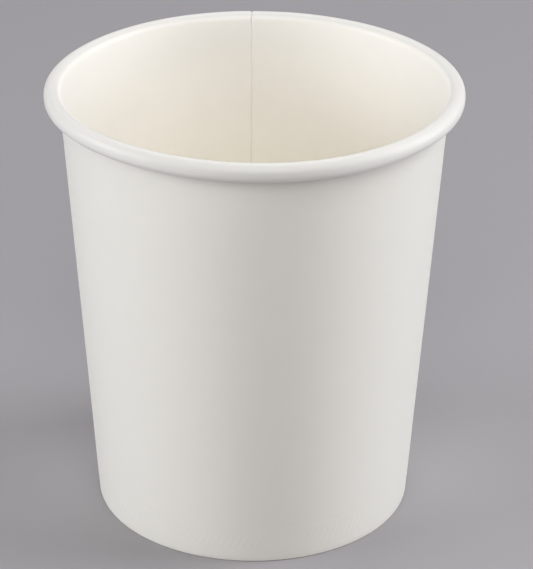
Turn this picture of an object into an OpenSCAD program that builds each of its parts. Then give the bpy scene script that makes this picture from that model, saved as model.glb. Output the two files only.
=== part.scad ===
// Soup tub: a coated paperboard tub made of two pieces of board.
// The side wall is a blank rolled into a cone, with a lap seam, a rolled rim and a hem folded up inside.
// The base disc is drawn with a skirt that points down and is held between the wall and the hem.
// The tub stands on z = 0 with its axis on Z, and the lap seam is on the +Y side.

/* [Tub] */
// Diameter over the rolled rim, which the lid goes by
rim_d = 117; // [102:0.5:150]
// Diameter of the wall at the foot
foot_d = 91.5; // [60:0.5:105]
// Height from the table to the top of the rim
tub_h = 128; // [60:1:200]

/* [Board] */
// Thickness of the side wall's board
wall_t = 0.45; // [0.3:0.01:0.6]
// Thickness of the base disc's board
base_t = 0.4; // [0.25:0.01:0.6]

/* [Rolled rim] */
// Width of the roll, measured level
roll_d = 4.6; // [3.4:0.1:6]
// Height of the straight outer side between the roll's upper and lower bends
roll_flat = 0.6; // [0.1:0.1:2]
// How far the edge of the board tucks up inside the roll, past its lowest point, in degrees
tuck_a = 150; // [90:5:200]
// Room between the tucked edge and the wall
tuck_gap = 0.15; // [0.05:0.05:0.3]

/* [Lap seam] */
// Width of the glued overlap
lap_w = 7; // [3:0.5:15]
// How far the two layers are pressed into each other
lap_press = 0.07; // [0.04:0.01:0.15]
// Height at which the outer layer is trimmed clear of the foot
lap_trim = 2.5; // [1:0.5:8]

/* [Foot] */
// Height of the hem that is folded up inside the foot
hem_h = 9.2; // [4:0.1:10.5]
// Depth of the base disc's underside above the table
base_z = 12; // [11:0.5:25]
// Inside radius of the bend between the disc and its skirt
bend_r = 0.6; // [0.2:0.1:1.5]
// Room between the skirt and the board on each side of it
seat_gap = 0.05; // [0.02:0.01:0.15]
// Room between the skirt's lower edge and the fold
skirt_gap = 0.4; // [0.1:0.1:2]

/* [Hidden] */
board_white = "#efeeea";
base_white = "#ecebe6";

// Largest turn between two points of a small bend, in degrees
bend_step = 15;
// Facets of the preview
$fn = 180;
// Overlap of layers that are one board
bite = 0.03;

// Height of the board's edge that shows inside at the seam
lap_step = wall_t - lap_press;

// Upper and lower bends of the roll and its tucked edge, with their centres in the section
roll_r = roll_d / 2;
roll_c = [rim_d / 2 - roll_r, tub_h - roll_r];
roll_low_c = roll_c - [0, roll_flat];
tuck_r = roll_r - wall_t - lap_step - tuck_gap;
tuck_c = [roll_c.x, roll_low_c.y - roll_r + tuck_r];

// The wall's faces lie this far inside those of the roll, so that wall and roll meet at a faint crease
crease = 0.01;
crease_a = (acos(1 - crease / roll_r) + acos(1 - crease / (roll_r - wall_t))) / 2;
crease_rise = (roll_r - wall_t / 2) * sin(crease_a);

// Lean of the wall: its outer face starts at the foot's edge and runs into the inner side of the roll
lean_reach = [roll_c.x - foot_d / 2, roll_c.y];
lean = acos((roll_r - wall_t - crease) / norm(lean_reach)) - atan2(lean_reach.y, lean_reach.x);
up_wall = [sin(lean), cos(lean)];
out_of_wall = [cos(lean), -sin(lean)];
// Thicknesses of the leaning boards, measured level
wall_level = wall_t / cos(lean);
base_level = base_t / cos(lean);

// The round half of the wall lies a quarter step inside the mean wall, and the other half grows to the lap
round_shift = -lap_step / 4;
lap_shift = lap_step / 4;
lap_centre = lap_step / 2;
lap_a = lap_w / (foot_d / 2) * 180 / PI;

// Width of the fold that takes the skirt, always wider than the step of the seam
fold_w = max(base_level + 2 * seat_gap, lap_step + 4 * bite);

// Radius of the mean wall's inner face at a height
function inner_x(z) = foot_d / 2 - wall_level + z * tan(lean);
// Radii at a height of the skirt's outer face and of the hem's face towards it
function skirt_x(z) = inner_x(z) + round_shift - seat_gap;
function hem_x(z) = inner_x(z) + round_shift - fold_w;

// Points on a small bend from one angle to another
function bend(c, r, from, to) =
    let (n = ceil(abs(to - from) / bend_step))
    [for (i = [0:n]) c + r * [cos(from + (to - from) * i / n), sin(from + (to - from) * i / n)]];

// Band of board curled round the origin, with its outer face at a radius, from one angle to another
module curled(r, from, to) {
    parts = 8;
    turn = (to - from) / parts;
    intersection() {
        difference() {
            circle(r);
            circle(r - wall_t);
        }
        polygon(concat(
            [[0, 0]],
            [for (i = [0:parts]) 2 * r * [cos(from + turn * i), sin(from + turn * i)]]
        ));
    }
}

// Section of the rolled rim, the wall and the outer half of the fold
module wall_section() {
    fold_c = [inner_x(wall_t), wall_t];
    fold_end = fold_c.x - fold_w + bite;
    wall_top = roll_c - (roll_r - crease) * out_of_wall + crease_rise * up_wall;
    translate(roll_c)
        curled(roll_r, 0, 180 - lean + crease_a);
    translate(roll_low_c + [roll_r - wall_t, 0])
        square([wall_t, roll_flat]);
    translate(roll_low_c)
        curled(roll_r, -90, 0);
    translate(tuck_c)
        curled(tuck_r, -90 - tuck_a, -90);
    polygon(concat(
        [wall_top, fold_c, [fold_end, wall_t], [fold_end, 0]],
        bend(fold_c, wall_t, -90, -lean),
        [wall_top + wall_t * out_of_wall]
    ));
}

// Section of the outer layer of the lap, which runs up behind the roll
module lap_section() {
    top = roll_c.y - roll_r / 2;
    polygon([for (p = [[0, lap_trim], [wall_level, lap_trim], [wall_level, top], [0, top]])
        [inner_x(p.y) + p.x - bite, p.y]]);
}

// Section of the hem and the inner half of the fold
module hem_section() {
    fold_c = [hem_x(wall_t), wall_t];
    fold_end = fold_c.x + fold_w - bite;
    hem_top = [hem_x(hem_h), hem_h];
    polygon(concat(
        [hem_top, fold_c, [fold_end, wall_t], [fold_end, 0]],
        bend(fold_c, wall_t, -90, -180 - lean),
        [hem_top - wall_t * out_of_wall]
    ));
}

// Section of the base disc with its bend and its skirt
module base_section() {
    bend_z = base_z - bend_r;
    bend_c = [skirt_x(bend_z) - (bend_r + base_t) / cos(lean), bend_z];
    skirt_z = wall_t + skirt_gap;
    polygon(concat(
        [[0, base_z]],
        bend(bend_c, bend_r, 90, -lean),
        [[skirt_x(skirt_z) - base_level, skirt_z], [skirt_x(skirt_z), skirt_z]],
        bend(bend_c, bend_r + base_t, -lean, 90),
        [[0, base_z + base_t]]
    ));
}

// Revolves a section, moved out by a shift, over a part of a turn
module turned(start, angle, shift) {
    rotate([0, 0, start])
        rotate_extrude(angle = angle)
            translate([shift, 0])
                children();
}

module side_wall() {
    color(board_white)
    union() {
        turned(270, 180, round_shift)
            wall_section();
        translate([0, lap_centre, 0])
            turned(90, 180, lap_shift)
                wall_section();
        mirror([1, 0, 0])
            turned(90, lap_a, round_shift + lap_step)
                lap_section();
        rotate_extrude()
            hem_section();
    }
}

module base_disc() {
    color(base_white)
    rotate_extrude()
        base_section();
}

side_wall();
base_disc();
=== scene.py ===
import math
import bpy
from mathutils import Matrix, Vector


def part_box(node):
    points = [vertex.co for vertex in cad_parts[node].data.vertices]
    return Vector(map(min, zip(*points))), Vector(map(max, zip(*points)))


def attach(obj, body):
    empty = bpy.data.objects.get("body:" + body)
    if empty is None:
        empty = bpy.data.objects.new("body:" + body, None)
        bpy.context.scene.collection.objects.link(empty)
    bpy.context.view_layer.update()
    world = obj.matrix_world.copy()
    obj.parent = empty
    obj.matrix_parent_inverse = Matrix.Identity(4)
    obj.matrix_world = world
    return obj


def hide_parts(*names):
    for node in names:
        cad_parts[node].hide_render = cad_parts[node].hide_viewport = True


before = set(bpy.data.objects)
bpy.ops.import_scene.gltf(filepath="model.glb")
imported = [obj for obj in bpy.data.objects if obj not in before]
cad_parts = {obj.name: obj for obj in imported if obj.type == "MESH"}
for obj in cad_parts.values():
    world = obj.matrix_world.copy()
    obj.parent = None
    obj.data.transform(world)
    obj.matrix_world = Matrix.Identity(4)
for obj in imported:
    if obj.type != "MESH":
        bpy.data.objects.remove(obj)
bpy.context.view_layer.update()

from types import SimpleNamespace

import bmesh
import bpy
from bpy.props import FloatProperty, FloatVectorProperty, IntProperty, PointerProperty
from mathutils import Matrix, Vector

bl_info = {
    "name": "Soup tub",
    "version": (1, 0, 0),
    "blender": (4, 5, 0),
    "location": "3D View > Sidebar > Soup tub",
    "description": "Rolls the side wall and draws the base disc of a paperboard soup tub, and lights them",
    "category": "Mesh",
}

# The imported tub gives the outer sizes, and the other sizes below repeat those of its boards.
WALL_LOW, WALL_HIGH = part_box("side_wall")

MM = 0.001
UP = Vector((0, 0, 1))
# The section of each board is drawn in the plane of the seam, where X is 0 and Y is the radius.
ACROSS_SECTION = (1, 0, 0)
# Room for rounding where places are compared
NEAR = 0.01 * MM
# Vertices closer than this are merged
WELD = 0.005 * MM
# Faces that meet at less than this are shaded as one
SMOOTH_ANGLE = math.radians(35)
# Half the height over which a mark in the board fades
MARK_FADE = 0.5 * MM
# Height of the fine relief on the board
RELIEF = 0.05 * MM

# Stretches of the side wall's board, in the order in which its section is drawn
TUCK, ROLL, WALL, FOLD, HEM = range(5)
# Turns of the side wall's board round the tub: the round half, the growing half and the lap over the seam
ROUND_HALF, GROWING_HALF, LAP = range(3)
# Layers of the side wall's sheet: its stretch, its turn, and how far round the tub each vertex lies
STRETCH_LAYER, TURN_LAYER, TURNED_LAYER = "stretch", "turn", "turned"


def length(name, description, default, low=0.0, high=1.0):
    """A size in metres that a user may change."""
    return FloatProperty(name=name, description=description, default=default, min=low, max=high,
                         precision=5, unit="LENGTH")


def angle(name, description, degrees):
    """A turn that a user may change."""
    return FloatProperty(name=name, description=description, default=math.radians(degrees), subtype="ANGLE")


def share(name, description, default):
    """A number from 0 to 1 that a user may change."""
    return FloatProperty(name=name, description=description, default=default, min=0.0, max=1.0,
                         precision=4)


def count(name, description, default):
    """A whole number that a user may change."""
    return IntProperty(name=name, description=description, default=default, min=1)


def colour(name, description, default):
    """A linear colour that a user may change."""
    return FloatVectorProperty(name=name, description=description, default=default, min=0.0, max=1.0,
                               size=3, subtype="COLOR")


def power(name, description, default):
    """A lamp's power in watts that a user may change."""
    return FloatProperty(name=name, description=description, default=default, min=0.0, unit="POWER")


class TubSizes(bpy.types.PropertyGroup):
    """Sizes of the tub's two boards"""
    rim_d: length("Rim", "Diameter over the rolled rim", WALL_HIGH.x - WALL_LOW.x)
    tub_h: length("Height", "Height from the table to the top of the rim", WALL_HIGH.z)
    foot_d: length("Foot", "Diameter of the wall at the foot", 91.5 * MM)
    wall_t: length("Wall board", "Thickness of the side wall's board", 0.45 * MM)
    base_t: length("Base board", "Thickness of the base disc's board", 0.4 * MM)
    roll_d: length("Roll", "Width of the rolled rim, measured level", 4.6 * MM)
    roll_flat: length("Roll side", "Height of the straight outer side of the roll", 0.6 * MM)
    rim_warp: length("Rim warp", "How far each wave of the rim rises and falls", 0.16 * MM)
    tuck_a: angle("Tuck", "How far the board's edge tucks up inside the roll", 150)
    tuck_gap: length("Tuck room", "Room between the tucked edge and the wall", 0.15 * MM)
    lap_w: length("Lap", "Width of the glued overlap", 7 * MM)
    lap_press: length("Lap press", "How far the layers of the lap are pressed together", 0.07 * MM)
    lap_trim: length("Lap trim", "Height at which the outer layer of the lap starts", 2.5 * MM)
    lap_dip: length("Lap dip", "Length over which the board dips behind its own start", 0.6 * MM)
    lap_edge: length("Lap edge", "Width over which the pressed edge of the lap thins out", 0.5 * MM)
    lap_thin: share("Lap thin", "Share of the thickness left at the pressed edge of the lap", 0.3)
    lap_sink: length("Lap sink", "How far the pressed edge of the lap sinks", 0.13 * MM)
    hem_h: length("Hem", "Height of the hem folded up inside the foot", 9.2 * MM)
    base_z: length("Base", "Depth of the base disc above the table", 12 * MM)
    bend_r: length("Base bend", "Inside radius of the bend between disc and skirt", 0.6 * MM)
    seat_gap: length("Seat room", "Room between the skirt and the board on each side", 0.05 * MM)
    skirt_gap: length("Skirt room", "Room between the skirt's edge and the fold", 0.4 * MM)
    fold_r: length("Fold", "Inside radius of the folds in the foot", 0.045 * MM)
    crimp_low: length("Crimp foot", "Height of the lower end of the crimp's strokes", 4.6 * MM)
    crimp_high: length("Crimp top", "Height of the upper end of the crimp's strokes", 8.8 * MM)
    crimp_depth: length("Crimp depth", "Depth of the strokes in the hem", 0.1 * MM)
    crimp_print: length("Crimp print", "How far the strokes show through the wall", 0.06 * MM)
    crimp_strokes: count("Crimp strokes", "Strokes of the crimp round the foot", 144)
    crimp_slant: angle("Crimp slant", "Lean of the strokes from upright", 27)
    edge_print: length("Edge print", "How far the wall swells above the edges of base and hem", 0.04 * MM)


class TubFinish(bpy.types.PropertyGroup):
    """Colours and finish of the board, with painted light inside the tub and painted shade on the rolled rim
    """
    wall_colour: colour("Wall", "Colour of the side wall's coated outside", (0.874, 0.855, 0.808))
    # Painted shade: the rolled rim is coloured darker than the wall, to tone down the light that falls on the
    # roll.
    rim_painted_shade_colour: colour("Rim", "Colour of the rolled rim, where the coating is stretched",
                       (0.816, 0.799, 0.772))
    # Painted light: the inside is coloured lighter than the outside board, standing in for the warm light
    # inside the tub.
    inside_painted_light_colour: colour("Inside", "Colour of the side wall's coated inside near the rim",
                          (0.955, 0.93, 0.9))
    # Painted light: the warmer colour towards the base stands in for the warm light deep in the tub.
    deep_painted_light_colour: colour("Deep inside", "Colour of the inside near the base, where the board is creamier",
                        (0.985, 0.942, 0.858))
    base_colour: colour("Base", "Colour of the coated base disc", (0.95, 0.89, 0.78))
    fibre_colour: colour("Fibre", "Colour of the fibres that show through the coating", (0.70, 0.66, 0.58))
    edge_colour: colour("Cut edge", "Colour of the bare cut edge of the board", (0.86, 0.83, 0.77))
    gloss_low: share("Smooth spots", "Roughness of the coating where it lies smooth", 0.42)
    gloss_high: share("Dull spots", "Roughness of the coating where fibres lift it", 0.52)


class TubStage(bpy.types.PropertyGroup):
    """Floor, lamps and camera"""
    floor_colour: colour("Floor", "Colour of the floor", (0.36, 0.346, 0.366))
    side_light: colour("Side light", "Colour of the lamps at the sides", (0.968, 0.984, 1.0))
    front_light: colour("Front light", "Colour of the lamps in front", (1.0, 0.995, 0.955))
    back_light: colour("Back light", "Colour of the lamp at the back", (1.0, 1.0, 1.0))
    left_power: power("Left", "Power of the left lamp", 10.9)
    right_power: power("Right", "Power of the high lamp on the right", 7.0)
    low_right_power: power("Low right", "Power of the low lamp on the right", 6.9)
    front_power: power("Front", "Power of the lamp over the camera", 5.7)
    low_front_power: power("Low front", "Power of the lamp behind the camera", 2.75)
    back_power: power("Back", "Power of the lamp at the back", 6.0)
    lamp_distance: length("Lamps", "From each lamp to the middle of the tub", 1.3, 0.1, 10.0)
    middle_z: length("Middle", "Height of the middle of the tub, which lamps and camera face", 64 * MM)
    camera_distance: length("Distance", "From the camera to the middle of the tub", 0.7235, 0.1, 10.0)
    camera_height: angle("Elevation", "Of the camera above the middle of the tub", 26.47)
    camera_turn: angle("Turn", "Of the camera round the tub, from -Y towards +X", -0.94)
    camera_roll: angle("Roll", "Of the camera about its own view", 0.27)
    lens: FloatProperty(name="Lens", description="Focal length in millimetres", default=158.73,
                        unit="CAMERA")
    shift_x: share("Shift right", "Of the view, as a share of the picture's longer side", 0.02258)
    shift_y: share("Shift up", "Of the view, as a share of the picture's longer side", 0.00563)


def section_of(sizes):
    """Works out the section of both boards, as points (radius, height) and lengths in metres."""
    s = SimpleNamespace()
    s.lap_step = sizes.wall_t - sizes.lap_press
    half_t = sizes.wall_t / 2
    roll_r = sizes.roll_d / 2
    s.roll_mid = roll_r - half_t
    s.roll_c = Vector((sizes.rim_d / 2 - roll_r, sizes.tub_h - roll_r))
    tuck_r = roll_r - sizes.wall_t - s.lap_step - sizes.tuck_gap
    s.tuck_mid = tuck_r - half_t
    s.roll_low_c = s.roll_c - Vector((0, sizes.roll_flat))
    s.tuck_c = Vector((s.roll_c.x, s.roll_low_c.y - roll_r + tuck_r))

    # The wall runs from the foot's edge into the inner side of the roll.
    reach = s.roll_c - Vector((sizes.foot_d / 2, 0))
    s.lean = math.acos((roll_r - sizes.wall_t) / reach.length) - math.atan2(reach.y, reach.x)
    s.up_wall = Vector((math.sin(s.lean), math.cos(s.lean)))
    s.out_of_wall = Vector((math.cos(s.lean), -math.sin(s.lean)))
    s.wall_top = s.roll_c - s.roll_mid * s.out_of_wall
    wall_level = sizes.wall_t / math.cos(s.lean)
    base_level = sizes.base_t / math.cos(s.lean)

    def inner_x(z):
        return sizes.foot_d / 2 - wall_level + z * math.tan(s.lean)

    # The folds in the foot turn about these points, a fold's width apart.
    fold_w = base_level + 2 * sizes.seat_gap
    s.fold_mid = sizes.fold_r + half_t
    fold_z = sizes.wall_t + sizes.fold_r
    fold_in = sizes.fold_r / math.cos(s.lean)
    s.outer_fold_c = Vector((inner_x(fold_z) - fold_in, fold_z))
    s.inner_fold_c = Vector((inner_x(fold_z) - fold_w + fold_in, fold_z))

    # The round half lies a quarter of a step inside the mean wall.
    s.round_shift = -s.lap_step / 4
    # The growing half turns about a second centre, this far towards the seam.
    s.growing_c = s.lap_step / 2
    s.lap_a = sizes.lap_w / (sizes.foot_d / 2)

    # The base disc's skirt stands in the fold.
    s.base_mid = sizes.bend_r + sizes.base_t / 2
    bend_z = sizes.base_z - sizes.bend_r
    skirt_x = inner_x(bend_z) + s.round_shift - sizes.seat_gap
    s.bend_c = Vector((skirt_x - (sizes.bend_r + sizes.base_t) / math.cos(s.lean), bend_z))
    s.skirt_z = sizes.wall_t + sizes.skirt_gap
    return s


def middle_of_roll(point, section):
    """The place on the roll's middle line that lies level with a point, or its nearer end."""
    return Vector((section.roll_c.x, min(max(point.y, section.roll_low_c.y), section.roll_c.y)))


def smooth_step(value, start, end):
    """0 before start, 1 after end and a smooth rise between them."""
    t = min(1.0, max(0.0, (value - start) / (end - start)))
    return t * t * (3 - 2 * t)


def in_section(point):
    """Place in the model of a point of a section."""
    return Vector((0, point[0], point[1]))


def start_section(name, point):
    """Adds a plane, merges it into one vertex and leaves that at a section's first point, in edit mode."""
    bpy.ops.object.select_all(action="DESELECT")
    bpy.ops.mesh.primitive_plane_add(size=MM)
    piece = bpy.context.object
    piece.name = piece.data.name = name
    bpy.ops.object.mode_set(mode="EDIT")
    bpy.ops.mesh.merge(type="CENTER")
    bpy.ops.transform.translate(value=in_section(point))
    return piece


def draw_on(step):
    """Extrudes the last vertex of a section by a step."""
    bpy.ops.mesh.extrude_region_move(TRANSFORM_OT_translate={"value": in_section(step)})


def curl_on(centre, turn, steps):
    """Spins the last vertex of a section about a centre. A positive turn is clockwise."""
    bpy.ops.mesh.spin(steps=steps, angle=turn, center=in_section(centre), axis=ACROSS_SECTION)


def turn_on(turn, steps, centre=(0, 0, 0)):
    """Spins what is selected round the tub, clockwise from above."""
    bpy.ops.mesh.spin(steps=steps, angle=turn, center=centre, axis=UP)


def mark(piece, layer_name, value, selected_only=False):
    """Writes a whole number to vertices, which every later copy of them keeps."""
    mesh = bmesh.from_edit_mesh(piece.data)
    layer = mesh.verts.layers.int.get(layer_name) or mesh.verts.layers.int.new(layer_name)
    for vert in mesh.verts:
        if vert.select or not selected_only:
            vert[layer] = value
    bmesh.update_edit_mesh(piece.data)


def close_sheet():
    """Merges doubled vertices of a rolled sheet and turns its faces one way."""
    bpy.ops.mesh.select_all(action="SELECT")
    bpy.ops.mesh.remove_doubles(threshold=WELD)
    bpy.ops.mesh.normals_make_consistent(inside=False)


def thicken_board(piece, thickness, weights=None, back_finish=0):
    """Gives a sheet half its thickness on each side, with finishes for its back and its cut edges."""
    board = piece.modifiers.new("board", "SOLIDIFY")
    board.thickness = thickness
    board.offset = 0.0
    board.use_even_offset = True
    board.material_offset = back_finish
    board.material_offset_rim = back_finish + 1
    if weights:
        board.vertex_group = weights
    bpy.ops.object.modifier_apply(modifier=board.name)
    bpy.ops.object.shade_smooth_by_angle(angle=SMOOTH_ANGLE)


class TUB_OT_roll_side_wall(bpy.types.Operator):
    """Draws the side wall's section, rolls it round the tub with its lap seam and thickens the board"""
    bl_idname = "tub.roll_side_wall"
    bl_label = "Roll the side wall"

    columns_per_half: count("Columns", "Columns of faces in half a turn", 288)
    edge_columns: count("Edge columns", "Columns of faces on the lap's pressed edge", 3)
    dip_columns: count("Dip columns", "Columns of faces in the dip at the seam", 5)
    crimp_rows: count("Crimp rows", "Rows of faces along the crimp's strokes", 7)

    def execute(self, context):
        sizes = context.scene.tub_sizes
        section = section_of(sizes)
        finish = context.scene.tub_finish
        piece = self.draw_section(sizes, section)
        piece.data.materials.append(coated_inside_finish(finish, sizes))
        piece.data.materials.append(coated_outside_finish(finish))
        piece.data.materials.append(cut_edge_finish(finish))
        self.roll_round(piece, sizes, section)
        self.press(piece, sizes, section)
        self.thicken(piece, sizes, section)
        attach(piece, "root")
        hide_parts("side_wall")
        return {"FINISHED"}

    def draw_section(self, sizes, section):
        """Draws the middle of the board from the edge tucked in the roll to the edge of the hem."""
        first_a = math.radians(-90) - sizes.tuck_a
        first = section.tuck_c + section.tuck_mid * Vector((math.cos(first_a), math.sin(first_a)))
        piece = start_section("side_wall_board", first)
        curl_on(section.tuck_c, -sizes.tuck_a, steps=6)
        curl_on(section.roll_low_c, math.radians(-90), steps=7)
        draw_on((0, sizes.roll_flat))
        curl_on(section.roll_c, section.lean - math.radians(180), steps=14)
        self.mark_curls(piece, section)

        # Each further stretch is marked at its first vertex, from which the rest of it is drawn on.
        mark(piece, STRETCH_LAYER, WALL, selected_only=True)
        here = section.wall_top
        for z in self.wall_heights(sizes, section):
            there = section.wall_top + section.up_wall * (z - section.wall_top.y) / section.up_wall.y
            draw_on(there - here)
            here = there
        mark(piece, STRETCH_LAYER, FOLD, selected_only=True)
        curl_on(section.outer_fold_c, math.radians(90) - section.lean, steps=4)
        mark(piece, STRETCH_LAYER, HEM, selected_only=True)
        draw_on(section.inner_fold_c - section.outer_fold_c)
        curl_on(section.inner_fold_c, math.radians(90) + section.lean, steps=4)
        here = section.inner_fold_c - section.fold_mid * section.out_of_wall
        for z in self.hem_heights(sizes, here.y):
            step = section.up_wall * (z - here.y) / section.up_wall.y
            draw_on(step)
            here = here + step
        return piece

    @staticmethod
    def mark_curls(piece, section):
        """Marks the tuck and the roll."""
        mesh = bmesh.from_edit_mesh(piece.data)
        layer = mesh.verts.layers.int.new(STRETCH_LAYER)
        for vert in mesh.verts:
            point = Vector((vert.co.y, vert.co.z))
            rolled = (point - middle_of_roll(point, section)).length > section.roll_mid - NEAR
            vert[layer] = ROLL if rolled else TUCK
        bmesh.update_edit_mesh(piece.data)

    def foot_heights(self, sizes):
        """Heights of rows that wall and hem share: on the crimp's strokes, below them and at the trim."""
        step = (sizes.crimp_high - sizes.crimp_low) / self.crimp_rows
        along_strokes = [sizes.crimp_high - i * step for i in range(self.crimp_rows + 1)]
        below_strokes = sizes.crimp_low - 1.2 * MARK_FADE
        return along_strokes + [below_strokes, sizes.lap_trim]

    def wall_heights(self, sizes, section):
        """Heights of the wall's rows from the roll to the fold, close together where marks show through."""
        # Sixty-fourths of the tub's height, where the wall is plain
        rows = [part / 64 * sizes.tub_h for part in (61, 59, 55, 48, 40, 32, 24, 16, 10)]
        # Millimetres above the edges of the base and of the hem, which show through
        rows += [sizes.base_z + step * MM for step in (1.2, 0.6, 0.2, -0.1, -0.4, -0.8)]
        rows += [sizes.hem_h + step * MM for step in (0.6, 0.3, 0.1, -0.1)]
        rows += self.foot_heights(sizes)
        rows.append(section.outer_fold_c.y - section.fold_mid * math.sin(section.lean))
        return sorted(rows, reverse=True)

    def hem_heights(self, sizes, start):
        """Heights of the hem's rows from the fold up to its edge."""
        rows = self.foot_heights(sizes) + [sizes.hem_h]
        return [z for z in sorted(rows) if z > start]

    def roll_round(self, piece, sizes, section):
        """Spins the section round the tub, to one step outside its start, and on over the lap."""
        bpy.ops.mesh.select_all(action="SELECT")
        bpy.ops.transform.translate(value=in_section((section.round_shift, 0)))
        mark(piece, TURN_LAYER, ROUND_HALF)
        edge_a = sizes.lap_edge / (sizes.rim_d / 2)
        turn_on(edge_a, self.edge_columns)
        turn_on(math.pi - edge_a, self.columns_per_half)
        mark(piece, TURN_LAYER, GROWING_HALF, selected_only=True)
        growing_c = in_section((section.growing_c, 0))
        dip_a = sizes.lap_dip / (sizes.rim_d / 2)
        turn_on(math.pi - dip_a, self.columns_per_half, growing_c)
        turn_on(dip_a, self.dip_columns, growing_c)

        # Only the board above the trim runs on over the seam.
        mesh = bmesh.from_edit_mesh(piece.data)
        stretch = mesh.verts.layers.int[STRETCH_LAYER]
        for vert in mesh.verts:
            lapped = vert[stretch] in (TUCK, ROLL, WALL) and vert.co.z > sizes.lap_trim - NEAR
            vert.select = vert.select and lapped
        mesh.select_flush_mode()
        bmesh.update_edit_mesh(piece.data)
        mark(piece, TURN_LAYER, LAP, selected_only=True)
        lap_columns = round(section.lap_a / (math.pi / self.columns_per_half))
        turn_on(section.lap_a, lap_columns)

    def press(self, piece, sizes, section):
        """Presses the rolled sheet: round like its start, behind it at the seam, and crimped at the foot."""
        mesh = bmesh.from_edit_mesh(piece.data)
        stretch_layer = mesh.verts.layers.int[STRETCH_LAYER]
        turn_layer = mesh.verts.layers.int[TURN_LAYER]
        turned_layer = mesh.verts.layers.float.new(TURNED_LAYER)
        for vert in mesh.verts:
            stretch, turn = vert[stretch_layer], vert[turn_layer]
            turned = self.turned(vert.co, turn, section)
            outwards = Vector((math.sin(turned), math.cos(turned), 0))
            vert[turned_layer] = turned
            if turn == GROWING_HALF:
                vert.co -= section.growing_c * (Vector((0, 1, 0)) + outwards)
            elif turn == LAP:
                vert.co -= section.lap_step * outwards
            if stretch != HEM:
                sunk = self.sunk_at(turned, turn, sizes, section)
                vert.co += sunk * self.behind(vert.co, stretch, outwards, section)
            if stretch in (WALL, HEM):
                vert.co += self.print_of(vert.co.z, turned, stretch, sizes) * outwards
            vert.co.z += self.warp_of(vert.co.z, turned, sizes)
        bmesh.update_edit_mesh(piece.data)
        close_sheet()
        bpy.ops.object.mode_set(mode="OBJECT")

    @staticmethod
    def turned(place, turn, section):
        """How far round the tub a vertex lies from the board's first edge, clockwise from +Y."""
        centre = section.growing_c if turn == GROWING_HALF else 0.0
        at = math.atan2(place.x, place.y - centre)
        # A little under half a column of faces, so that rounding keeps a vertex on its own side of an edge
        half_column = 0.005
        if turn == ROUND_HALF:
            return at if at > -half_column else at + math.tau
        if turn == GROWING_HALF:
            return at if at > math.pi - half_column else at + math.tau
        return at + math.tau

    @staticmethod
    def sunk_at(turned, turn, sizes, section):
        """How far the board lies behind its round place: a step at its end, a little at its pressed start."""
        rim_r = sizes.rim_d / 2
        if turn == ROUND_HALF:
            return sizes.lap_sink * (1 - smooth_step(turned, 0, sizes.lap_edge / rim_r))
        return section.lap_step * smooth_step(turned, math.tau - sizes.lap_dip / rim_r, math.tau)

    @staticmethod
    def behind(place, stretch, outwards, section):
        """The way from the tub's inside through the board, which is into the curl on the rolled rim."""
        point = Vector((place.dot(outwards) - section.round_shift, place.z))
        if stretch == TUCK:
            way = (section.tuck_c - point).normalized()
        elif stretch == ROLL:
            way = (middle_of_roll(point, section) - point).normalized()
        else:
            way = section.out_of_wall if stretch == WALL else Vector((1, 0))
        return way.x * outwards + way.y * UP

    @staticmethod
    def warp_of(z, turned, sizes):
        """How far the upper wall and the rim lie below their level place, in two and three waves a turn."""
        two_waves = math.sin(2 * turned - 0.19)
        three_waves = math.cos(3 * turned + 0.76)
        # What both together reach at most, so that the rim nowhere rises past its level place
        highest = 2.0
        upper_wall = smooth_step(z, 0.7 * sizes.tub_h, 0.95 * sizes.tub_h)
        return sizes.rim_warp * (two_waves + three_waves - highest) * upper_wall

    @staticmethod
    def print_of(z, turned, stretch, sizes):
        """How far the wall or the hem stands out because of the crimp and the layers behind it."""
        zone = smooth_step(z, sizes.crimp_low - MARK_FADE, sizes.crimp_low + MARK_FADE)
        zone *= 1 - smooth_step(z, sizes.crimp_high - MARK_FADE, sizes.crimp_high + MARK_FADE)
        slant = math.tan(sizes.crimp_slant) * (z - sizes.crimp_low) / (sizes.foot_d / 2)
        stroke = 0.5 + 0.5 * math.cos(sizes.crimp_strokes * (turned + slant))
        if stretch == HEM:
            return -sizes.crimp_depth * zone * (1 - stroke)
        over_base = smooth_step(z, sizes.base_z - MARK_FADE, sizes.base_z + MARK_FADE)
        over_base *= 1 - smooth_step(z, sizes.base_z + MARK_FADE, 2 * sizes.base_z)
        over_hem = smooth_step(z, sizes.hem_h - MARK_FADE, sizes.hem_h + MARK_FADE)
        over_hem *= 1 - smooth_step(z, sizes.hem_h + MARK_FADE, sizes.base_z)
        return sizes.edge_print * (over_base + over_hem) + sizes.crimp_print * zone * stroke

    @staticmethod
    def thicken(piece, sizes, section):
        """Gives the board its thickness, a little less where the two layers of the lap are pressed."""
        turn_values = [v.value for v in piece.data.attributes[TURN_LAYER].data]
        turned_values = [v.value for v in piece.data.attributes[TURNED_LAYER].data]
        group = piece.vertex_groups.new(name="board_thickness")
        pressed = (section.lap_step - NEAR) / sizes.wall_t
        soft_a = section.lap_a / 4
        edge_a = sizes.lap_edge / (sizes.rim_d / 2)
        for index, (turn, turned) in enumerate(zip(turn_values, turned_values)):
            into_lap = smooth_step(turned, math.tau - soft_a, math.tau)
            thinned = 1.0
            if turn == ROUND_HALF:
                into_lap = 1 - smooth_step(turned, section.lap_a, section.lap_a + soft_a)
                thinned = sizes.lap_thin + (1 - sizes.lap_thin) * smooth_step(turned, 0, edge_a)
            group.add([index], thinned * (1 - into_lap * (1 - pressed)), "REPLACE")
        thicken_board(piece, sizes.wall_t, group.name, back_finish=1)
        piece.vertex_groups.clear()
        for name in (STRETCH_LAYER, TURN_LAYER, TURNED_LAYER):
            piece.data.attributes.remove(piece.data.attributes[name])


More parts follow.
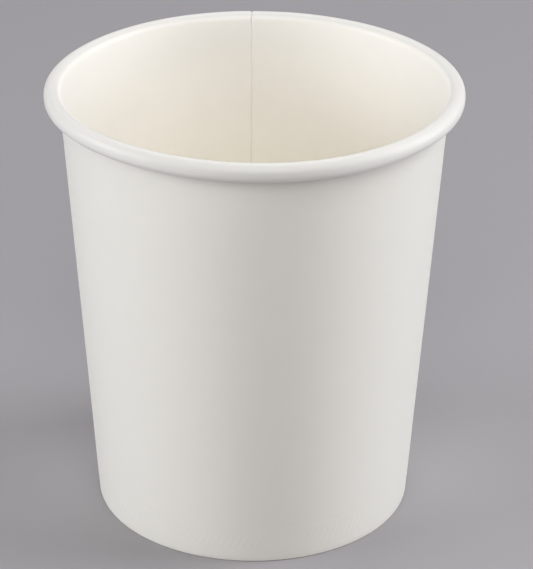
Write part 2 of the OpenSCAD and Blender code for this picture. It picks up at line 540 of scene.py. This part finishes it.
class TUB_OT_draw_base_disc(bpy.types.Operator):
    """Draws the base disc's section, spins it and gives the board its thickness"""
    bl_idname = "tub.draw_base_disc"
    bl_label = "Draw the base disc"

    columns: count("Columns", "Columns of faces round the disc", 360)
    skirt_rows: count("Skirt rows", "Rows of faces down the skirt", 6)
    pleats: count("Pleats", "Fine pleats in the drawn bend", 90)
    pleat_depth: length("Pleat depth", "Depth of the pleats", 0.03 * MM)

    def execute(self, context):
        sizes = context.scene.tub_sizes
        section = section_of(sizes)
        piece = self.draw_section(sizes, section)
        bpy.ops.mesh.select_all(action="SELECT")
        turn_on(math.tau, self.columns)
        self.pleat(piece, sizes, section)
        finish = context.scene.tub_finish
        piece.data.materials.append(coated_base_finish(finish))
        piece.data.materials.append(cut_edge_finish(finish))
        thicken_board(piece, sizes.base_t)
        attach(piece, "root")
        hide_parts("base_disc")
        return {"FINISHED"}

    def draw_section(self, sizes, section):
        """Draws the middle of the board from the disc's centre to the edge of the skirt."""
        piece = start_section("base_disc_board", (0, sizes.base_z + sizes.base_t / 2))
        # Rings of the flat disc, as shares of the way to the bend, closer together near it
        rings = (0.1, 0.25, 0.4, 0.55, 0.7, 0.82, 0.91, 0.96, 1.0)
        here = 0.0
        for part in rings:
            draw_on((part * section.bend_c.x - here, 0))
            here = part * section.bend_c.x
        curl_on(section.bend_c, math.radians(90) + section.lean, steps=7)
        skirt_top = section.bend_c + section.base_mid * section.out_of_wall
        drop = (skirt_top.y - section.skirt_z) / self.skirt_rows
        for _ in range(self.skirt_rows):
            draw_on(-section.up_wall * drop / section.up_wall.y)
        return piece

    def pleat(self, piece, sizes, section):
        """Draws fine pleats into the bend, where the flat blank has board to spare."""
        close_sheet()
        mesh = bmesh.from_edit_mesh(piece.data)
        flat_r = section.bend_c.x - sizes.bend_r
        bent_r = section.bend_c.x + section.base_mid
        for vert in mesh.verts:
            radius = math.hypot(vert.co.x, vert.co.y)
            if radius < flat_r:
                continue
            in_bend = smooth_step(radius, flat_r, bent_r)
            wave = math.cos(self.pleats * math.atan2(vert.co.x, vert.co.y))
            inwards = Vector((-vert.co.x, -vert.co.y, 0)).normalized()
            vert.co += inwards * self.pleat_depth * in_bend * (0.5 - 0.5 * wave)
        bmesh.update_edit_mesh(piece.data)
        bpy.ops.object.mode_set(mode="OBJECT")


class Graph:
    """Nodes of a material, a group or a world, added and linked by name."""

    # Places of a Mix node's colour sockets, whose names its other sockets share
    MIX_FACTOR, MIX_FIRST, MIX_SECOND = 0, 6, 7
    MIX_RESULT = 2

    def __init__(self, tree):
        self.tree = tree

    def add(self, kind, settings=None, **inputs):
        """Adds a node with its settings and inputs. An input is a value, or the output that feeds it."""
        node = self.tree.nodes.new(kind)
        for name, value in (settings or {}).items():
            setattr(node, name, value)
        for name, value in inputs.items():
            self.feed(node.inputs[name], value)
        return node

    def feed(self, socket, value):
        """Links an output to a socket, or sets the socket's own value."""
        if isinstance(value, bpy.types.NodeSocket):
            self.tree.links.new(value, socket)
        else:
            socket.default_value = value

    def math(self, operation, first, second):
        """Adds a Math node and returns its output."""
        node = self.add("ShaderNodeMath", {"operation": operation})
        for socket, value in zip(node.inputs, (first, second)):
            self.feed(socket, value)
        return node.outputs["Value"]

    def measure(self, operation, vector):
        """Adds a Vector Math node for one vector and returns its outputs."""
        node = self.add("ShaderNodeVectorMath", {"operation": operation})
        self.feed(node.inputs[0], vector)
        return node.outputs

    def ramp(self, value, low, high, to_low=0.0, to_high=1.0):
        """Adds a smooth Map Range node and returns its output."""
        node = self.add("ShaderNodeMapRange", {"interpolation_type": "SMOOTHSTEP"}, Value=value)
        limits = {"From Min": low, "From Max": high, "To Min": to_low, "To Max": to_high}
        for name, number in limits.items():
            node.inputs[name].default_value = number
        return node.outputs["Result"]

    def noise(self, place, scale, detail=2.0, rough=0.5):
        """Adds a Noise Texture node and returns its value."""
        node = self.add("ShaderNodeTexNoise", Vector=place, Scale=scale, Detail=detail, Roughness=rough)
        return node.outputs["Fac"]

    def blend(self, factor, first, second):
        """Mixes two colours and returns the result."""
        node = self.add("ShaderNodeMix", {"data_type": "RGBA"})
        self.feed(node.inputs[self.MIX_FACTOR], factor)
        self.feed(node.inputs[self.MIX_FIRST], first)
        self.feed(node.inputs[self.MIX_SECOND], second)
        return node.outputs[self.MIX_RESULT]


def opaque(rgb):
    """A colour with its alpha."""
    return (*rgb, 1.0)


def board_fibre_group():
    """Fibres of pressed board: cloudy spots, fine flecks, and the height and dullness they give a coating."""
    name = "Board fibre"
    if name in bpy.data.node_groups:
        return bpy.data.node_groups[name]
    tree = bpy.data.node_groups.new(name, "ShaderNodeTree")
    sockets = tree.interface
    sockets.new_socket("Place", in_out="INPUT", socket_type="NodeSocketVector")
    for label in ("Cloud", "Fleck"):
        sockets.new_socket(label, in_out="INPUT", socket_type="NodeSocketFloat").default_value = 0.5
    for label in ("Shade", "Height", "Dullness"):
        sockets.new_socket(label, in_out="OUTPUT", socket_type="NodeSocketFloat")
    graph = Graph(tree)
    given = graph.add("NodeGroupInput").outputs
    # The scales are spots, fibres and grains in a metre.
    spots = graph.noise(given["Place"], scale=160.0, detail=3.0)
    cloud = graph.ramp(spots, low=0.3, high=0.7)
    fibre = graph.noise(given["Place"], scale=1400.0, detail=3.0, rough=0.6)
    grain = graph.noise(given["Place"], scale=4200.0, detail=1.0)
    fleck = graph.ramp(fibre, low=0.62, high=0.78)
    shade = graph.math("ADD", graph.math("MULTIPLY", cloud, given["Cloud"]),
                       graph.math("MULTIPLY", fleck, given["Fleck"]))
    height = graph.math("ADD", graph.math("MULTIPLY", fibre, 0.7), graph.math("MULTIPLY", grain, 0.3))
    dullness = graph.ramp(fibre, low=0.3, high=0.7)
    graph.add("NodeGroupOutput", Shade=shade, Height=height, Dullness=dullness)
    return tree


def new_board_material(name, cloud, fleck):
    """A material with its Principled shader, its place on the piece and the fibre group."""
    material = bpy.data.materials.new(name)
    material.use_nodes = True
    graph = Graph(material.node_tree)
    shader = material.node_tree.nodes["Principled BSDF"]
    place = graph.add("ShaderNodeTexCoord").outputs["Object"]
    fibre = graph.add("ShaderNodeGroup", {"node_tree": board_fibre_group()},
                      Place=place, Cloud=cloud, Fleck=fleck)
    return material, graph, shader, place, fibre.outputs


def lay_fibre(graph, shader, finish, board_colour, fibre, height, bump_strength):
    """Shows the fibres of a board in its colour and its fine relief."""
    tint = graph.blend(fibre["Shade"], board_colour, opaque(finish.fibre_colour))
    graph.feed(shader.inputs["Base Color"], tint)
    bump = graph.add("ShaderNodeBump", Strength=bump_strength, Distance=RELIEF, Height=height)
    graph.feed(shader.inputs["Normal"], bump.outputs["Normal"])


def lay_coating(graph, shader, finish, fibre):
    """Lays the thin coating on a board, with its dull and smooth spots."""
    dullness = graph.ramp(fibre["Dullness"], 0.0, 1.0, finish.gloss_low, finish.gloss_high)
    graph.feed(shader.inputs["Roughness"], dullness)


def coated_outside_finish(finish):
    """Coated board of the side wall's outside."""
    material, graph, shader, _, fibre = new_board_material(
        "coated wall board, outside", cloud=0.03, fleck=0.05)
    lay_fibre(graph, shader, finish, opaque(finish.wall_colour), fibre, fibre["Height"], bump_strength=0.12)
    lay_coating(graph, shader, finish, fibre)
    return material


def coated_inside_finish(finish, sizes):
    """Coated board of the side wall's inside and of the rolled rim, which has fine wrinkles across it. The
    inside takes painted light, lighter than the outside and warmer towards the base, and the roll takes
    painted shade.
    """
    material, graph, shader, place, fibre = new_board_material(
        "coated wall board, inside", cloud=0.03, fleck=0.05)
    axes = graph.add("ShaderNodeSeparateXYZ", Vector=place).outputs
    level = graph.add("ShaderNodeCombineXYZ", X=axes["X"], Y=axes["Y"]).outputs["Vector"]
    round_rim = graph.measure("NORMALIZE", level)["Vector"]
    radius = graph.measure("LENGTH", level)["Value"]

    wrinkles_per_radius = 42.0
    wrinkle = graph.noise(round_rim, wrinkles_per_radius)
    roll_z = sizes.tub_h - sizes.roll_d - sizes.roll_flat
    curled = graph.ramp(axes["Z"], low=roll_z - 0.5 * MM, high=roll_z + 1.5 * MM)
    height = graph.math("ADD", fibre["Height"], graph.math("MULTIPLY", wrinkle, curled))

    # Painted shade: the roll over its crest takes a darker colour, to tone down the light that falls on it.
    rim_r = sizes.rim_d / 2
    over_crest = graph.ramp(radius, low=rim_r - 0.97 * sizes.roll_d, high=rim_r - 0.8 * sizes.roll_d)
    painted_shade_on_roll = graph.math("MULTIPLY", curled, over_crest)
    # Painted light: the inside's colour grows warmer from the rim down towards the base, standing in for the
    # warm light inside the tub.
    painted_light_by_height = graph.ramp(axes["Z"], low=0.55 * sizes.tub_h, high=sizes.tub_h)
    board = graph.blend(painted_light_by_height, opaque(finish.deep_painted_light_colour), opaque(finish.inside_painted_light_colour))
    board = graph.blend(painted_shade_on_roll, board, opaque(finish.rim_painted_shade_colour))
    lay_fibre(graph, shader, finish, board, fibre, height, bump_strength=0.12)
    lay_coating(graph, shader, finish, fibre)
    return material


def coated_base_finish(finish):
    """Coated board of the base disc."""
    material, graph, shader, _, fibre = new_board_material("coated base board", cloud=0.05, fleck=0.07)
    lay_fibre(graph, shader, finish, opaque(finish.base_colour), fibre, fibre["Height"], bump_strength=0.15)
    lay_coating(graph, shader, finish, fibre)
    return material


def cut_edge_finish(finish):
    """Bare cut edge of a board, where its fibres show."""
    name = "cut board edge"
    if name in bpy.data.materials:
        return bpy.data.materials[name]
    material, graph, shader, _, fibre = new_board_material(name, cloud=0.2, fleck=0.6)
    lay_fibre(graph, shader, finish, opaque(finish.edge_colour), fibre, fibre["Height"], bump_strength=0.4)
    shader.inputs["Roughness"].default_value = 0.9
    return material


class TUB_OT_set_stage(bpy.types.Operator):
    """Adds the floor, the lamps and the camera"""
    bl_idname = "tub.set_stage"
    bl_label = "Set the stage"

    def execute(self, context):
        stage = context.scene.tub_stage
        middle = Vector((0, 0, stage.middle_z))
        self.add_floor(stage)
        self.add_backdrop(context.scene, stage)
        # Each lamp has its turn and elevation in degrees, and its width in metres.
        for name, turn, height, width, watts, light in (
            ("left lamp", -80, 15, 0.7, stage.left_power, stage.side_light),
            ("right lamp", 90, 42, 0.6, stage.right_power, stage.side_light),
            ("low right lamp", 94, 9.5, 0.5, stage.low_right_power, stage.side_light),
            ("front lamp", 0, 45, 0.9, stage.front_power, stage.front_light),
            ("low front lamp", 0, 32, 0.9, stage.low_front_power, stage.front_light),
            ("back lamp", 180, 50, 0.9, stage.back_power, stage.back_light),
        ):
            place = self.place_round(math.radians(turn), math.radians(height), stage.lamp_distance, middle)
            self.add_lamp(name, place, middle, width, watts, light)
        self.add_camera(context.scene, stage, middle)
        context.scene.view_settings.view_transform = "Standard"
        return {"FINISHED"}

    @staticmethod
    def place_round(turn, height, distance, middle):
        """A place at a distance from the tub's middle, turned from -Y towards +X and raised by angles."""
        level = math.cos(height)
        way = Vector((level * math.sin(turn), -level * math.cos(turn), math.sin(height)))
        return middle + distance * way

    @staticmethod
    def facing(place, middle):
        """The turn of a lamp or camera at a place that looks at the tub's middle."""
        return (middle - place).to_track_quat("-Z", "Y")

    @staticmethod
    def add_floor(stage):
        """Adds a wide floor of one plain colour."""
        bpy.ops.object.select_all(action="DESELECT")
        bpy.ops.mesh.primitive_plane_add(size=12.0)
        floor = bpy.context.object
        floor.name = "floor"
        material = bpy.data.materials.new("floor")
        material.use_nodes = True
        shader = material.node_tree.nodes["Principled BSDF"]
        shader.inputs["Base Color"].default_value = opaque(stage.floor_colour)
        shader.inputs["Roughness"].default_value = 0.9
        floor.data.materials.append(material)

    @staticmethod
    def add_backdrop(scene, stage):
        """Shows the floor's colour past the floor and in reflections, and leaves the light to the lamps."""
        world = bpy.data.worlds.new("backdrop")
        world.use_nodes = True
        graph = Graph(world.node_tree)
        background = world.node_tree.nodes["Background"]
        background.inputs["Color"].default_value = opaque(stage.floor_colour)
        ray = graph.add("ShaderNodeLightPath").outputs
        mirrored = graph.math("MAXIMUM", ray["Is Glossy Ray"], ray["Is Transmission Ray"])
        seen = graph.math("MAXIMUM", ray["Is Camera Ray"], mirrored)
        graph.feed(background.inputs["Strength"], seen)
        scene.world = world

    def add_lamp(self, name, place, middle, width, watts, light):
        """Adds a large square lamp that faces the tub."""
        bpy.ops.object.light_add(type="AREA", location=place)
        lamp = bpy.context.object
        lamp.name = name
        lamp.data.size = width
        lamp.data.energy = watts
        lamp.data.color = light
        lamp.rotation_euler = self.facing(place, middle).to_euler()

    def add_camera(self, scene, stage, middle):
        """Adds the camera and points it at the middle of the tub."""
        place = self.place_round(stage.camera_turn, stage.camera_height, stage.camera_distance, middle)
        bpy.ops.object.camera_add(location=place)
        camera = bpy.context.object
        facing = self.facing(place, middle).to_matrix()
        camera.rotation_euler = (facing @ Matrix.Rotation(stage.camera_roll, 3, "Z")).to_euler()
        camera.data.lens = stage.lens
        camera.data.shift_x = stage.shift_x
        camera.data.shift_y = stage.shift_y
        scene.camera = camera


class TUB_PT_sidebar(bpy.types.Panel):
    """Sizes, finishes and steps of the soup tub"""
    bl_idname = "TUB_PT_sidebar"
    bl_label = "Soup tub"
    bl_space_type = "VIEW_3D"
    bl_region_type = "UI"
    bl_category = "Soup tub"

    def draw(self, context):
        layout = self.layout
        scene = context.scene
        for settings in (scene.tub_sizes, scene.tub_finish, scene.tub_stage):
            box = layout.box()
            for name in settings.__annotations__:
                box.prop(settings, name)
        for operator in OPERATORS:
            layout.operator(operator.bl_idname)


SETTINGS = {"tub_sizes": TubSizes, "tub_finish": TubFinish, "tub_stage": TubStage}
OPERATORS = (TUB_OT_roll_side_wall, TUB_OT_draw_base_disc, TUB_OT_set_stage)
CLASSES = (*SETTINGS.values(), *OPERATORS, TUB_PT_sidebar)


def register():
    for kind in CLASSES:
        bpy.utils.register_class(kind)
    for name, kind in SETTINGS.items():
        setattr(bpy.types.Scene, name, PointerProperty(type=kind))


def unregister():
    for name in SETTINGS:
        delattr(bpy.types.Scene, name)
    for kind in reversed(CLASSES):
        bpy.utils.unregister_class(kind)


def main():
    register()
    bpy.ops.tub.roll_side_wall()
    bpy.ops.tub.draw_base_disc()
    bpy.ops.tub.set_stage()


if __name__ == "__main__":
    main()
